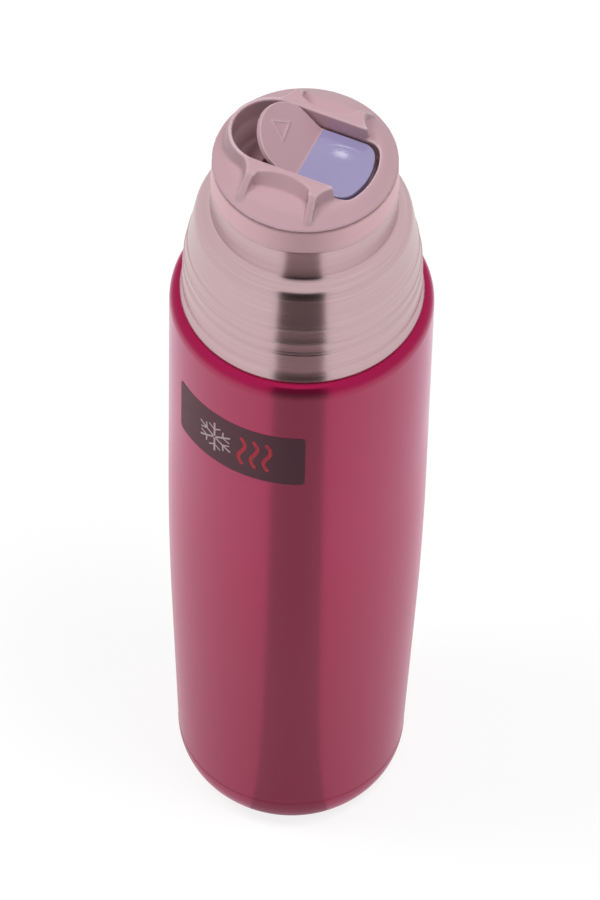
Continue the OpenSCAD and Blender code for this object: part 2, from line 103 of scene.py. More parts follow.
class Workpiece:
    """A mesh on the bench, in millimetres, before it becomes a piece of the bottle."""

    def __init__(self) -> None:
        """Start with an empty mesh."""
        self.bm = bmesh.new()

    def _soften(self, verts: Sequence[bmesh.types.BMVert], outline: Sequence[Corner]) -> None:
        """Round the corners of a wire or a flat face.

        Args:
            verts: the vertices of the outline, in order.
            outline: the corners that they came from.
        """
        for reach in sorted({c.soft for c in outline if c.soft > 0}):
            chosen = [v for v, c in zip(verts, outline) if c.soft == reach]
            bmesh.ops.bevel(self.bm, geom=chosen, offset=reach, offset_type="OFFSET", affect="VERTICES",
                            segments=ROUND_STEPS, profile=0.5, material=-1)

    def close(self) -> "Workpiece":
        """Merge doubles and point the faces outwards.

        Returns:
            The same workpiece.
        """
        bmesh.ops.remove_doubles(self.bm, verts=self.bm.verts, dist=MERGE)
        bmesh.ops.recalc_face_normals(self.bm, faces=self.bm.faces)
        return self

    @classmethod
    def turned(cls, outline: Sequence[Corner], steps: int = 160) -> "Workpiece":
        """Spin a closed outline about the upright axis.

        Args:
            outline: corners of radius and height.
            steps: number of facets round the axis.

        Returns:
            The closed turned solid.
        """
        work = cls()
        verts = [work.bm.verts.new((c.x, 0, c.y)) for c in outline]
        for first, second in zip(verts, verts[1:] + verts[:1]):
            if first.co.x > 0 or second.co.x > 0:
                work.bm.edges.new((first, second))
        work._soften(verts, outline)
        bmesh.ops.spin(work.bm, geom=work.bm.verts[:] + work.bm.edges[:], axis=(0, 0, 1), cent=(0, 0, 0),
                       angle=math.tau, steps=steps, use_merge=True)
        return work.close()

    @classmethod
    def prism(cls, plan: Sequence[Corner], low: float, high: float) -> "Workpiece":
        """Raise a flat plan into a solid.

        Args:
            plan: corners seen from above.
            low: height of the lower face.
            high: height of the upper face.

        Returns:
            The closed upright solid.
        """
        work = cls()
        verts = [work.bm.verts.new((c.x, c.y, low)) for c in plan]
        work.bm.faces.new(verts)
        work._soften(verts, plan)
        grown = bmesh.ops.extrude_face_region(work.bm, geom=work.bm.faces[:])
        lifted = [g for g in grown["geom"] if isinstance(g, bmesh.types.BMVert)]
        bmesh.ops.translate(work.bm, vec=(0, 0, high - low), verts=lifted)
        return work.close()

    @classmethod
    def loft(cls, low_plan: Sequence[Corner], low: float, high_plan: Sequence[Corner],
             high: float) -> "Workpiece":
        """Join two flat plans with the same number of corners into a leaning solid.

        Args:
            low_plan: corners of the lower face.
            low: its height.
            high_plan: corners of the upper face.
            high: its height.

        Returns:
            The closed solid.
        """
        work = cls()
        for plan, level in ((low_plan, low), (high_plan, high)):
            work.bm.faces.new([work.bm.verts.new((c.x, c.y, level)) for c in plan])
        bmesh.ops.bridge_loops(work.bm, edges=work.bm.edges[:])
        return work.close()

    @classmethod
    def drum(cls, low_r: float, high_r: float, low: float, high: float, steps: int = 96) -> "Workpiece":
        """Make an upright cylinder or cone.

        Args:
            low_r: radius at the lower end.
            high_r: radius at the upper end.
            low: height of the lower end.
            high: height of the upper end.
            steps: number of facets round the axis.

        Returns:
            The closed solid.
        """
        work = cls()
        bmesh.ops.create_cone(work.bm, cap_ends=True, segments=steps, radius1=low_r, radius2=high_r,
                              depth=high - low, matrix=Matrix.Translation((0, 0, (low + high) / 2)))
        return work.close()

    @classmethod
    def ball(cls, radius: float, rounds: int) -> "Workpiece":
        """Make a fine sphere about the origin.

        Args:
            radius: its radius.
            rounds: how often its facets are split.

        Returns:
            The closed solid.
        """
        work = cls()
        bmesh.ops.create_icosphere(work.bm, subdivisions=rounds, radius=radius)
        return work.close()

    @classmethod
    def of_mesh(cls, mesh: bpy.types.Mesh) -> "Workpiece":
        """Take a mesh back onto the bench.

        Args:
            mesh: the mesh, which is removed.

        Returns:
            The workpiece.
        """
        work = cls()
        work.bm.from_mesh(mesh)
        bpy.data.meshes.remove(mesh)
        return work

    def trimmed(self, at: Place, away: Place) -> "Workpiece":
        """Cut the solid off flat.

        Args:
            at: a point on the cut.
            away: direction of the side that is taken away.

        Returns:
            The same workpiece, closed again.
        """
        geometry = self.bm.verts[:] + self.bm.edges[:] + self.bm.faces[:]
        bmesh.ops.bisect_plane(self.bm, geom=geometry, plane_co=at, plane_no=away, clear_outer=True)
        bmesh.ops.holes_fill(self.bm, edges=[e for e in self.bm.edges if e.is_boundary])
        return self.close()

    def placed(self, matrix: Matrix) -> "Workpiece":
        """Move, turn or mirror the whole mesh.

        Args:
            matrix: the placing.

        Returns:
            The same workpiece.
        """
        bmesh.ops.transform(self.bm, matrix=matrix, verts=self.bm.verts)
        if matrix.determinant() < 0:
            bmesh.ops.reverse_faces(self.bm, faces=self.bm.faces)
        return self

    def moved(self, x: float = 0, y: float = 0, z: float = 0) -> "Workpiece":
        """Shift the mesh; returns the same workpiece."""
        return self.placed(Matrix.Translation((x, y, z)))

    def turned_by(self, degrees: float, axis: str) -> "Workpiece":
        """Turn the mesh about an axis through the origin; returns the same workpiece."""
        return self.placed(Matrix.Rotation(math.radians(degrees), 4, axis))

    def mesh(self, name: str, scale: float = 1.0) -> bpy.types.Mesh:
        """Hand the mesh over and empty the bench.

        Args:
            name: name of the new mesh.
            scale: length of one millimetre in the new mesh.

        Returns:
            The mesh.
        """
        made = bpy.data.meshes.new(name)
        bmesh.ops.scale(self.bm, vec=(scale,) * 3, verts=self.bm.verts)
        self.bm.to_mesh(made)
        self.bm.free()
        return made


@dataclass
class Mould:
    """A plastic moulding: solids put together in order and melted into one skin with soft edges.

    How sharply the skin bends at each point is kept with it, for the finish to paint a pale highlight along
    the convex edges.

    Attributes:
        name: name of the moulding.
        grain: size of the cells that the skin is made of.
        passes: how many times the skin is smoothed.
        steps: the solids and what each does.
    """

    name: str
    grain: float
    passes: int
    steps: list[tuple[Step, Workpiece]] = field(default_factory=list)

    def put(self, step: Step, *works: Workpiece) -> "Mould":
        """Add solids to the recipe, with what they do; returns the same mould."""
        self.steps += [(step, work) for work in works]
        return self

    def cast(self) -> Workpiece:
        """Melt the recipe into one skin.

        Returns:
            The moulding as a workpiece.
        """
        made = []
        for number, (_, work) in enumerate(self.steps):
            tool = bpy.data.objects.new(f"{self.name}_{number}", work.mesh(f"{self.name}_{number}"))
            bpy.context.scene.collection.objects.link(tool)
            made.append(tool)
        blank = made[0]
        for (step, _), tool in zip(self.steps[1:], made[1:]):
            joined = blank.modifiers.new(tool.name, "BOOLEAN")
            joined.object = tool
            joined.operation = step.value
            joined.solver = "MANIFOLD"
        melted = blank.modifiers.new("melt", "REMESH")
        melted.mode = "VOXEL"
        melted.voxel_size = self.grain
        bpy.context.view_layer.update()
        graph = bpy.context.evaluated_depsgraph_get()
        work = Workpiece.of_mesh(bpy.data.meshes.new_from_object(blank.evaluated_get(graph)))
        for tool in made:
            left = tool.data
            bpy.data.objects.remove(tool)
            bpy.data.meshes.remove(left)
        for _ in range(self.passes):
            bmesh.ops.smooth_vert(work.bm, verts=work.bm.verts, factor=0.5,
                                  use_axis_x=True, use_axis_y=True, use_axis_z=True)
        bend = work.bm.verts.layers.float.new(BEND)
        for v in work.bm.verts:
            v[bend] = sum(e.calc_face_angle_signed(0.0) for e in v.link_edges) / len(v.link_edges)
        return work


Number = Union[float, "Wire"]


class Wire:
    """One socket of a node sheet; sums and products of wires add Math nodes."""

    def __init__(self, sheet: "Sheet", socket: bpy.types.NodeSocket) -> None:
        """Wrap an output socket of a sheet."""
        self.sheet = sheet
        self.socket = socket

    def math(self, operation: str, *values: Number) -> "Wire":
        """Put a Math node on the sheet and give its result."""
        return self.sheet.node("ShaderNodeMath", {"operation": operation}, dict(enumerate(values)))

    def __add__(self, other: Number) -> "Wire":
        """Add."""
        return self.math("ADD", self, other)

    __radd__ = __add__

    def __sub__(self, other: Number) -> "Wire":
        """Subtract."""
        return self.math("SUBTRACT", self, other)

    def __rsub__(self, other: Number) -> "Wire":
        """Subtract from."""
        return self.math("SUBTRACT", other, self)

    def __mul__(self, other: Number) -> "Wire":
        """Multiply."""
        return self.math("MULTIPLY", self, other)

    def __or__(self, other: "Wire") -> "Wire":
        """Take the greater of two wires."""
        return self.math("MAXIMUM", self, other)

    def steep(self, low: float, high: float) -> "Wire":
        """Stretch the values between low and high over nought to one, and cut off the rest."""
        return self.sheet.node("ShaderNodeMapRange", {"clamp": True}, {0: self, 1: low, 2: high})


class Sheet:
    """The node sheet of one finish or of the world."""

    def __init__(self, tree: bpy.types.NodeTree) -> None:
        """Clear a node tree to write on."""
        self.tree = tree
        tree.nodes.clear()

    def node(self, kind: str, settings: dict[str, Any] | None = None, feeds: dict[Any, Any] | None = None,
             output: int | str = 0) -> Wire:
        """Put any node on the sheet.

        Args:
            kind: the node's type.
            settings: its own settings; "stops" are a ramp's positions and colours.
            feeds: values or wires for its sockets.
            output: the output that is wanted.

        Returns:
            That output, or the node's first.
        """
        made = self.tree.nodes.new(kind)
        for key, value in (settings or {}).items():
            if key == "stops":
                ramp = made.color_ramp.elements
                while len(ramp) < len(value):
                    ramp.new(0.5)
                for element, (position, colour) in zip(ramp, value):
                    element.position = position
                    element.color = (*colour, 1)
            else:
                setattr(made, key, value)
        for key, value in (feeds or {}).items():
            if isinstance(value, Wire):
                self.tree.links.new(value.socket, made.inputs[key])
            else:
                made.inputs[key].default_value = value
        return Wire(self, made.outputs[output] if made.outputs else made.inputs[0])

    def place(self, scale: Place = (1, 1, 1)) -> Wire:
        """Give the place on the object, with each direction stretched by its scale."""
        here = self.node("ShaderNodeTexCoord", output="Object")
        return self.node("ShaderNodeMapping", {}, {"Vector": here, "Scale": scale})

    def height(self) -> Wire:
        """Give the height above the ground in metres."""
        return self.node("ShaderNodeSeparateXYZ", {}, {0: self.place()}, "Z")

    def noise(self, scale: float, stretch: Place = (1, 1, 1), detail: float = 2) -> Wire:
        """Give a cloudy value about one half; scale is clouds to a metre, detail layers of finer ones."""
        feeds = {"Vector": self.place(stretch), "Scale": scale, "Detail": detail}
        return self.node("ShaderNodeTexNoise", {}, feeds)

    def cells(self, scale: float, output: str = "Distance") -> Wire:
        """Give the distance to, or the colour of, the nearest of many points; scale is points to a metre."""
        return self.node("ShaderNodeTexVoronoi", {}, {"Vector": self.place(), "Scale": scale}, output)

    def blend(self, share: Number, first: Any, second: Any) -> Wire:
        """Mix two colours or wires; share is how much of the second."""
        opaque = [c if isinstance(c, Wire) else (*c, 1) for c in (first, second)]
        return self.node("ShaderNodeMix", {"data_type": "RGBA"}, {0: share, 6: opaque[0], 7: opaque[1]}, 2)

    def bump(self, height: Wire, depth: float) -> Wire:
        """Turn a height of nought to one, with its depth in metres, into a normal."""
        return self.node("ShaderNodeBump", {}, {"Height": height, "Distance": depth, "Strength": 1.0})

    def end(self, shader: Wire, kind: str = "ShaderNodeOutputMaterial") -> None:
        """Lead a finished shader to the sheet's output node."""
        self.node(kind, {}, {"Surface": shader})


class Finish:
    """What every finish has in common."""

    name: str

    def write(self, sheet: Sheet) -> Wire:
        """Write the finish on a sheet and give its shader."""
        raise NotImplementedError

    def material(self) -> bpy.types.Material:
        """Make the material once, and give it again later.

        Returns:
            The material.
        """
        found = bpy.data.materials.get(self.name)
        if found is not None:
            return found
        made = bpy.data.materials.new(self.name)
        made.use_nodes = True
        sheet = Sheet(made.node_tree)
        sheet.end(self.write(sheet))
        return made


@dataclass(frozen=True)
class Lacquer(Finish):
    """Clear tinted lacquer over brushed steel, with fine flakes.

    Attributes:
        name: name of the material.
        tint: colour of the lit metal.
        deep: colour between the flakes.
        thin_z: height in metres above which the hazy top coat thins out.
        peel: depth of the orange peel in metres.
    """

    name: str = "red_metallic_lacquer"
    tint: Colour = (0.40, 0.008, 0.074)
    deep: Colour = (0.34, 0.006, 0.060)
    thin_z: float = 0.2348
    peel: float = 0.000006

    def write(self, sheet: Sheet) -> Wire:
        """Write the lacquer: flakes, faint brushing, cloudy gloss, a thin orange peel and the hazy coat.

        Args:
            sheet: the sheet to write on.

        Returns:
            The shader.
        """
        flakes = sheet.node("ShaderNodeSeparateColor", {}, {0: sheet.cells(5200, "Color")})
        brushing = sheet.noise(60, (1, 1, 60), 3)
        colour = sheet.blend((flakes * 0.5 + brushing * 0.5).steep(0.2, 0.8), self.deep, self.tint)
        thinned = sheet.height().steep(self.thin_z, self.thin_z + 0.0015)
        return sheet.node("ShaderNodeBsdfPrincipled", {}, {
            "Base Color": colour,
            "Metallic": 0.7,
            "Roughness": 0.16 + sheet.noise(40) * 0.06,
            "Specular IOR Level": 0.2,
            "Specular Tint": (1.0, 0.68, 0.9, 1),
            "Sheen Weight": 0.12,
            "Sheen Roughness": 0.5,
            "Sheen Tint": (1.0, 0.9, 0.95, 1),
            "Coat Weight": 0.85 - thinned * 0.8,
            "Coat Roughness": 0.55,
            "Coat IOR": 1.5,
            "Normal": sheet.bump(sheet.noise(520, detail=1), self.peel),
        })


@dataclass(frozen=True)
class BrushedSteel(Finish):
    """Stainless steel brushed round the upright axis.

    Attributes:
        name: name of the material.
        light: colour on the crests of the brushing.
        dark: colour in its grooves.
        gloss: roughness.
        depth: depth of the brushing in metres.
        satin_z: height in metres above which the steel is blasted satin.
        blasted: colour of the satin part.
    """

    name: str = "brushed_steel"
    light: Colour = (0.62, 0.44, 0.455)
    dark: Colour = (0.52, 0.36, 0.375)
    gloss: float = 0.25
    depth: float = 0.000004
    satin_z: float = 0.2895
    blasted: Colour = (0.80, 0.58, 0.61)

    def write(self, sheet: Sheet) -> Wire:
        """Write the steel: two sizes of brush lines, a cloudy gloss and the satin top.

        Args:
            sheet: the sheet to write on.

        Returns:
            The shader.
        """
        fine = sheet.noise(40, (1, 1, 140), 4)
        broad = sheet.noise(14, (1, 1, 60), 2)
        lines = fine * 0.65 + broad * 0.35
        satin = sheet.height().steep(self.satin_z, self.satin_z + 0.0006)
        plain = sheet.blend(lines.steep(0.3, 0.7), self.dark, self.light)
        return sheet.node("ShaderNodeBsdfPrincipled", {}, {
            "Base Color": sheet.blend(satin, plain, self.blasted),
            "Metallic": 1.0,
            "Roughness": self.gloss + (lines - 0.5) * 0.12 + satin * 0.6,
            "Anisotropic": 0.75,
            "Anisotropic Rotation": 0.25,
            "Normal": sheet.bump(lines, self.depth),
        })


@dataclass(frozen=True)
class MouldedPlastic(Finish):
    """Injection-moulded plastic with a fine spark-eroded grain.

    Attributes:
        name: name of the material.
        light: main colour.
        dark: colour of the faint clouds.
        painted_edge_highlight: pale colour painted along the convex edges as a highlight.
        gloss: roughness.
        grain: depth of the grain in metres.
        shine: strength of the reflections, one half for a plain plastic.
    """

    name: str = "rose_moulded_plastic"
    light: Colour = (0.576, 0.372, 0.42)
    dark: Colour = (0.545, 0.345, 0.39)
    # Pale colour painted along convex edges as a highlight.
    painted_edge_highlight: Colour = (0.86, 0.70, 0.74)
    gloss: float = 0.42
    grain: float = 0.00001
    shine: float = 0.3

    def write(self, sheet: Sheet) -> Wire:
        """Write the plastic: flow clouds, grain, a pale painted highlight along the convex edges, and gloss
        that the grain breaks up.

        Args:
            sheet: the sheet to write on.

        Returns:
            The shader.
        """
        clouds = sheet.noise(55, detail=3)
        grain = sheet.noise(4200, detail=3)
        # Convex edges get a pale painted highlight mixed into the base colour, and a little less roughness.
        painted_edge_highlight = sheet.node("ShaderNodeAttribute", {"attribute_name": BEND}, output="Fac").steep(0.08, 0.3)
        plain = sheet.blend((clouds * 0.7 + grain * 0.3).steep(0.3, 0.7), self.dark, self.light)
        return sheet.node("ShaderNodeBsdfPrincipled", {}, {
            "Base Color": sheet.blend(painted_edge_highlight * 0.4, plain, self.painted_edge_highlight),
            "Roughness": self.gloss + (grain - 0.5) * 0.16 - painted_edge_highlight * 0.08,
            "Specular IOR Level": self.shine,
            "Normal": sheet.bump(grain, self.grain),
        })


@dataclass(frozen=True)
class Rubber(Finish):
    """Soft silicone with a dusty bloom.

    Attributes:
        name: name of the material.
        clean: colour of the rubber.
        bloom: colour of the dust on it.
        depth: depth of the dust's relief in metres.
    """

    name: str = "matt_silicone"
    clean: Colour = (0.47, 0.44, 0.43)
    bloom: Colour = (0.58, 0.56, 0.55)
    depth: float = 0.00001

    def write(self, sheet: Sheet) -> Wire:
        """Write the rubber: dusty clouds over a soft matt skin.

        Args:
            sheet: the sheet to write on.

        Returns:
            The shader.
        """
        dust = sheet.noise(320, detail=4)
        return sheet.node("ShaderNodeBsdfPrincipled", {}, {
            "Base Color": sheet.blend(dust.steep(0.35, 0.75), self.clean, self.bloom),
            "Roughness": 0.52 + dust * 0.2,
            "Normal": sheet.bump(dust, self.depth),
        })


@dataclass(frozen=True)
class Granular(Finish):
    """Foam, sintered metal or crumpled foil, all made of small cells.

    Attributes:
        name: name of the material.
        light: colour on the cells.
        dark: colour between them.
        cells: cells to a metre.
        depth: depth of the relief in metres.
        metal: one for metal, nought for others.
        gloss: roughness.
    """

    name: str
    light: Colour
    dark: Colour
    cells: float
    depth: float
    metal: float
    gloss: float

    def write(self, sheet: Sheet) -> Wire:
        """Write the cells in colour, gloss and relief.

        Args:
            sheet: the sheet to write on.

        Returns:
            The shader.
        """
        cells = sheet.cells(self.cells)
        return sheet.node("ShaderNodeBsdfPrincipled", {}, {
            "Base Color": sheet.blend(cells.steep(0.1, 0.7), self.light, self.dark),
            "Metallic": self.metal,
            "Roughness": self.gloss + (cells - 0.4) * 0.2,
            "Normal": sheet.bump(cells, self.depth),
        })


@dataclass(frozen=True)
class PrintedFilm(Finish):
    """Printed film or ink under a clear lacquer.

    Attributes:
        name: name of the material.
        light: main colour.
        dark: colour in the print's fine dots.
        gloss: roughness.
        metal: share of metal in the ink.
        peel: depth of the orange peel in metres.
    """

    name: str = "badge_film"
    light: Colour = (0.110, 0.050, 0.066)
    dark: Colour = (0.094, 0.041, 0.055)
    gloss: float = 0.45
    metal: float = 0.35
    peel: float = 0.000006

    def write(self, sheet: Sheet) -> Wire:
        """Write the print: fine dots and a little orange peel.

        Args:
            sheet: the sheet to write on.

        Returns:
            The shader.
        """
        dots = sheet.cells(9000)
        peel = sheet.noise(520, detail=1)
        return sheet.node("ShaderNodeBsdfPrincipled", {}, {
            "Base Color": sheet.blend(dots.steep(0.2, 0.6), self.light, self.dark),
            "Roughness": self.gloss + peel * 0.08,
            "Metallic": self.metal,
            "Specular IOR Level": 0.3,
            "Specular Tint": (1.0, 0.62, 0.72, 1),
            "Normal": sheet.bump(peel, self.peel),
        })


RED = Lacquer()
STEEL = BrushedSteel()
INNER_STEEL = BrushedSteel("satin_inner_steel", (0.66, 0.63, 0.61), (0.56, 0.53, 0.51), 0.3, 0.000003)
PINK = MouldedPlastic()
# Its third colour is the pale painted highlight along convex edges.
LILAC = MouldedPlastic("lilac_moulded_plastic", (0.32, 0.285, 0.485), (0.295, 0.262, 0.455),
                       (0.50, 0.46, 0.68), 0.11, 0.000003, 0.5)
SILICONE = Rubber()
FOAM = Granular("plug_foam", (0.80, 0.76, 0.68), (0.62, 0.57, 0.48), 900, 0.0003, 0.0, 0.85)
FOIL = Granular("crumpled_foil", (0.78, 0.78, 0.80), (0.60, 0.60, 0.63), 140, 0.0002, 1.0, 0.25)
PELLET = Granular("getter_pellet", (0.13, 0.125, 0.12), (0.06, 0.058, 0.055), 2400, 0.00008, 0.6, 0.7)
FILM = PrintedFilm()
PALE_INK = PrintedFilm("pale_ink", (0.66, 0.55, 0.58), (0.58, 0.47, 0.50), 0.45, 0.0)
RED_INK = PrintedFilm("red_ink", (0.72, 0.045, 0.075), (0.64, 0.035, 0.06), 0.45, 0.0)


def make_piece(name: str, work: Workpiece, finish: Finish, body: Body,
               replaced: Iterable[str] = ()) -> None:
    """Turn a workpiece into a dressed piece that rides on a body.

    Args:
        name: name of the piece.
        work: the finished workpiece, in place.
        finish: its finish.
        body: the body it moves with.
        replaced: the CAD nodes it stands for.
    """
    mesh = work.mesh(name, MM)
    mesh.shade_smooth()
    mesh.set_sharp_from_angle(angle=CREASE)
    mesh.materials.append(finish.material())
    made = bpy.data.objects.new(name, mesh)
    bpy.context.scene.collection.objects.link(made)
    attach(made, body.value)
    if replaced:
        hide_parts(*replaced)
    LOG.info("%s: %d faces on %s", name, len(mesh.polygons), body.value)


@dataclass
class Flask:
    """The lacquered body: shell, foot and the steel cover under the foot.

    Attributes:
        body_r: radius of the straight part.
        neck_z: height of the joint with the neck.
        taper_z: height where the taper starts.
        taper_curve_r: radius of the curve that leads into the taper.
        taper_deg: the taper in degrees.
        seam_z: height of the seam above the foot.
        seam_r: radius at that seam.
        shoulder: width and height of the rounded shoulder.
        wall: thickness of the steel.
        foot_curve: width and height of the foot's curve.
        foot_sweep: how far that curve turns under, in degrees.
        foot_r: outer radius of the ring it stands on.
        foot_in_r: inner radius of that ring.
        recess_h: depth of the recess underneath.
        hole_r: radius of the hole in the middle of the recess.
        film: how far the badge stands out of the lacquer.
        cover: how far the cover's rim lies inside the ring, its height, and its gap under the recess.
        cover_step: where the cover's raised middle starts and ends, as shares of its radius, and the rise.
        facets: facets round the axis.
    """

    body_r: float = 41.0
    neck_z: float = 238.0
    taper_z: float = 148.0
    taper_curve_r: float = 1913.0
    taper_deg: float = 1.976
    seam_z: float = 14.0
    seam_r: float = 37.45
    shoulder: Point = (3.3, 5.3)
    wall: float = 0.6
    foot_curve: Point = (16.9, 18.7)
    foot_sweep: float = 46.5
    foot_r: float = 31.2
    foot_in_r: float = 27.5
    recess_h: float = 4.6
    hole_r: float = 1.2
    film: float = 0.06
    cover: tuple[float, float, float] = (2.2, 3.1, 0.08)
    cover_step: tuple[float, float, float] = (0.55, 0.58, 0.12)
    facets: int = 192

    @property
    def shoulder_r(self) -> float:
        """Radius where the shoulder meets the neck."""
        return self.body_r - self.shoulder[0]

    def side(self, inset: float) -> list[Corner]:
        """Follow the body's side upwards.

        Args:
            inset: how far the line lies inside the surface.

        Returns:
            The corners from the seam to the joint with the neck.
        """
        turn_r = self.taper_curve_r - inset
        width, height = self.shoulder
        low = [Corner(self.seam_r - inset, self.seam_z)]
        middle = (self.body_r - self.taper_curve_r, self.taper_z)
        taper = bow(middle, (turn_r, turn_r), -self.taper_deg, 0, 20)
        top = bow((self.shoulder_r, self.neck_z - height), (width - inset, height - inset), 0, 90, 24)
        return low + taper + top

    def underside(self, inset: float) -> list[Corner]:
        """Follow the foot's curve from the seam down.

        Args:
            inset: how far the line lies inside the surface.

        Returns:
            The corners from the seam almost to the ring it stands on.
        """
        width, height = self.foot_curve
        middle = (self.seam_r - width, self.seam_z)
        return bow(middle, (width - inset, height - inset), 0, -self.foot_sweep, 20)[:-1]

    def recess(self) -> list[Corner]:
        """Outline the foot's underside from the ring to the hole, and back along its inside.

        Returns:
            The corners in order.
        """
        t, deep, ring, hole = self.wall, self.recess_h, self.foot_in_r, self.hole_r
        under = corners((self.foot_r, 0, 0.5), (ring, 0, 0.4), (ring - 1.1, deep - 0.8, 0.5),
                        (ring - 1.8, deep, 0.5), (hole, deep))
        inside = corners((hole, deep + t), (ring - 1.4, deep + t, 0.5), (ring + 0.5, t + 0.3, 0.4),
                         (self.foot_r - 0.4, t + 0.3, 0.3))
        return under + inside

    def cover_outline(self) -> list[Corner]:
        """Outline the steel cover with its raised middle.

        Returns:
            The corners in order.
        """
        inset, tall, gap = self.cover
        near, far, rise = self.cover_step
        t, rim = self.wall, self.foot_in_r - inset
        low, top = self.recess_h - tall, self.recess_h - gap
        under = corners((0, low + rise), (rim * near, low + rise, 0.3), (rim * far, low, 0.3),
                        (rim, low, 0.5), (rim, top))
        inside = corners((rim - t, top), (rim - t, low + t, 0.3), (rim * far, low + t, 0.2),
                         (rim * near, low + t + rise, 0.2), (0, low + t + rise))
        return under + inside

    def build(self) -> None:
        """Make the shell, the foot and the cover."""
        shell = self.side(self.film) + self.side(self.wall)[::-1]
        foot = self.underside(0) + self.recess() + self.underside(self.wall)[::-1]
        for name, outline, node in (("lacquered_shell", shell, "outer_shell"),
                                    ("lacquered_foot", foot, "outer_base")):
            work = Workpiece.turned(outline, self.facets)
            make_piece(name, work, RED, Body.BOTTLE, [node])
        cover = Workpiece.turned(self.cover_outline())
        make_piece("steel_base_cover", cover, STEEL, Body.BOTTLE, ["base_cover"])


@dataclass
class Neck:
    """The brushed steel neck with its flange, rings, cone, step and upper ring.

    Attributes:
        flask: the body it stands on.
        band_r: radius of the plain band.
        step_r: radius at the top of the cone.
        upper_r: radius of the upper wall.
        edge_r: radius of the top edge.
        inner_r: radius of the hole that takes the inner vessel.
        height: height above the shoulder.
        skirt: how far it reaches down inside the shoulder.
        wall: thickness of the steel.
        band_z: heights where the plain band starts and ends.
        step_z: height of the top of the cone.
        upper_z: height where the upper wall starts.
        lip_z: height of the upper ring.
        ring_out: how far the fine rings stand out.
        rings: how far inside the band each fine ring stands, and its height.
    """

    flask: Flask
    band_r: float = 36.95
    step_r: float = 33.4
    upper_r: float = 28.45
    edge_r: float = 28.25
    inner_r: float = 26.85
    height: float = 59.95
    skirt: float = 5.0
    wall: float = 0.9
    band_z: Point = (4.2, 12.3)
    step_z: float = 35.2
    upper_z: float = 43.0
    lip_z: float = 51.2
    ring_out: float = 0.22
    rings: tuple[Point, ...] = ((0.25, 13.0), (0.55, 17.2), (1.43, 22.5))

    def ring(self, r: float, h: float) -> list[Corner]:
        """Outline one fine ring.

        Args:
            r: radius of the wall under the ring.
            h: height of the ring.

        Returns:
            The corners of the ring from below.
        """
        out = r + self.ring_out
        return corners((r, h - 0.4, 0.1), (out, h - 0.15, 0.08), (out, h + 0.2, 0.1),
                       (r - 0.12, h + 0.55, 0.1))

    def outside(self) -> list[Corner]:
        """Follow the outside upwards, in radius and height above the shoulder.

        Returns:
            The corners in order.
        """
        root, band, step, upper = self.flask.shoulder_r, self.band_r, self.step_r, self.upper_r
        (low, high), shelf, lip = self.band_z, self.step_z, self.lip_z
        flange = corners((root - 0.25, -self.skirt), (root - 0.25, 0.05), (root + 0.08, 0.05),
                         (root + 0.1, 0.6, 0.15), (root, 1.2, 0.3), (root - 0.4, 2.6, 0.5),
                         (band, low, 0.6), (band, high, 0.15))
        rings = [corner for inset, level in self.rings for corner in self.ring(band - inset, level)]
        cone = corners((step, shelf, 0.8), (step - 0.8, shelf + 1.9, 0.7), (upper + 1.2, shelf + 3.6, 0.7),
                       (upper + 0.25, shelf + 4.6, 0.5), (upper, self.upper_z, 0.8), (upper, lip, 0.15))
        edge = corners((upper + 0.2, lip + 0.3, 0.12), (upper + 0.2, lip + 0.8, 0.15),
                       (upper + 0.02, lip + 1.4, 0.15), (self.edge_r, self.height - 0.3, 0.1),
                       (self.edge_r - 0.3, self.height))
        return flange + rings + cone + edge

    def inside(self) -> list[Corner]:
        """Follow the inside downwards, in radius and height above the shoulder.

        Returns:
            The corners in order.
        """
        root, band, step, upper = self.flask.shoulder_r, self.band_r, self.step_r, self.upper_r
        (low, high), shelf, lip = self.band_z, self.step_z, self.lip_z
        second, third = (level for _, level in self.rings[1:])
        return corners((self.inner_r, self.height), (self.inner_r, lip + 2.3), (upper - self.wall, lip - 0.7),
                       (upper - self.wall, shelf + 5.1), (upper - 0.25, shelf + 3.8),
                       (step - 3.8, shelf + 3.0), (step - 1.5, shelf + 1.3), (step - self.wall, shelf),
                       (band - 2.35, third), (band - 1.45, second), (band - self.wall, high + 0.2),
                       (band - self.wall, low), (root - 1.05, 2), (root - 1.05, -self.skirt))

    def build(self) -> None:
        """Make the neck."""
        work = Workpiece.turned(self.outside() + self.inside(), self.flask.facets)
        make_piece("steel_neck", work.moved(z=self.flask.neck_z), STEEL, Body.BOTTLE,
                   ["neck_collar"])


